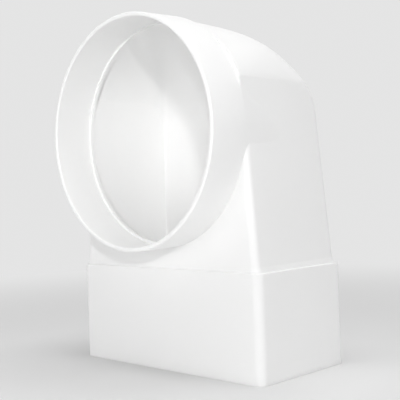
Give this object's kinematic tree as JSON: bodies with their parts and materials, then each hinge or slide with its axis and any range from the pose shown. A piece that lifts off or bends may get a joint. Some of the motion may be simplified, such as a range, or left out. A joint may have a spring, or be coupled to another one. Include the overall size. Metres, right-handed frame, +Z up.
{
  "type": "reducing duct elbow",
  "caption": "Right-angle plastic duct elbow that turns a flat rectangular duct into a round pipe, with a plug-in socket at each mouth.",
  "frame": {"origin": "middle of the rectangular mouth, on the plane the elbow stands on", "axes": "+X across the flat duct's wide side, +Y to the back, +Z up; the round mouth faces -Y"},
  "size_m": [0.1144, 0.0772, 0.1599],
  "materials": {
    "white_plastic": "semi-gloss"
  },
  "bodies": {
    "root": {"duct_elbow": "white_plastic"}
  },
  "joints": []
}
